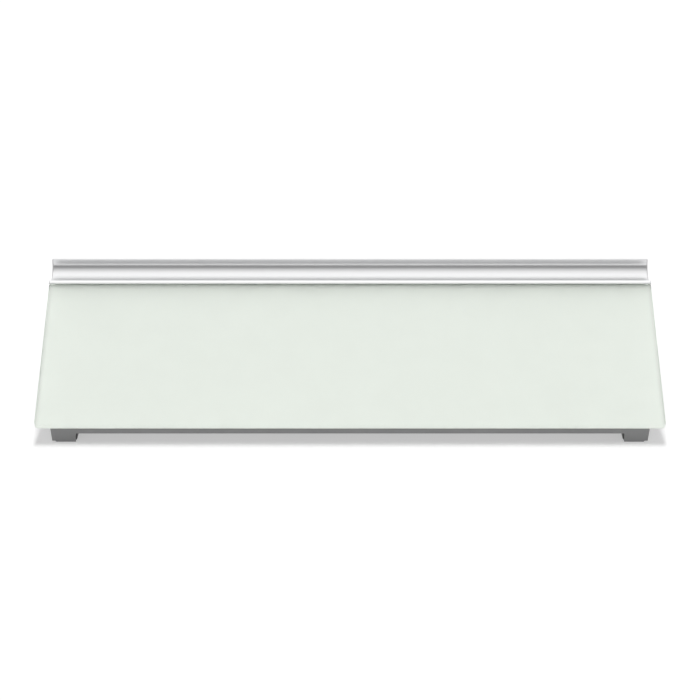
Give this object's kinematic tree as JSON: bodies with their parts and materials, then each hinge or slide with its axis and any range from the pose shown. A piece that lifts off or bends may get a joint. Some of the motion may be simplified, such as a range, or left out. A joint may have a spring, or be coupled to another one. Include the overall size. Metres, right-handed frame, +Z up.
{
  "type": "desktop glass whiteboard",
  "caption": "Low glass writing board that slopes up over a grey plastic base, with an aluminium rail along the top edge that holds pens.",
  "frame": {"origin": "on the desk, under the middle of the board's length and depth", "axes": "+X along the board to the user's right, +Y away from the user, +Z up"},
  "size_m": [0.4572, 0.1524, 0.0893],
  "materials": {
    "glass": "clear tempered sheet with a pale green tint, ground edges",
    "white_film": "opaque white film on the back of the glass",
    "foam_tape": "closed-cell foam tape",
    "grey_plastic": "fine moulded texture, mid grey",
    "dark_plastic": "fine moulded texture, charcoal",
    "satin_aluminium": "satin anodised extrusion",
    "cap_plastic": "satin silver-grey moulding",
    "pad_rubber": "matte black rubber",
    "screw_steel": "zinc-plated"
  },
  "bodies": {
    "root": {"glass_panel": "glass", "white_coat": "white_film", "bond_tape_front": "foam_tape", "bond_tape_rear": "foam_tape", "bond_tape_left": "foam_tape", "bond_tape_right": "foam_tape", "deck": "grey_plastic", "left_leg": "dark_plastic", "right_leg": "dark_plastic", "back_panel": "grey_plastic", "accessory_rail": "satin_aluminium", "rail_end_cap_left": "cap_plastic", "rail_end_cap_right": "cap_plastic", "foot_pad_front_left": "pad_rubber", "foot_pad_front_right": "pad_rubber", "foot_pad_rear_left": "pad_rubber", "foot_pad_rear_right": "pad_rubber", "rail_screw_1": "screw_steel", "rail_screw_2": "screw_steel", "rail_screw_3": "screw_steel", "rail_screw_4": "screw_steel", "leg_screw_left_front": "screw_steel", "leg_screw_left_middle": "screw_steel", "leg_screw_left_rear": "screw_steel", "leg_screw_right_front": "screw_steel", "leg_screw_right_middle": "screw_steel", "leg_screw_right_rear": "screw_steel", "panel_screw_left_low": "screw_steel", "panel_screw_left_high": "screw_steel", "panel_screw_right_low": "screw_steel", "panel_screw_right_high": "screw_steel", "panel_screw_middle_left": "screw_steel", "panel_screw_middle_right": "screw_steel"}
  },
  "joints": []
}
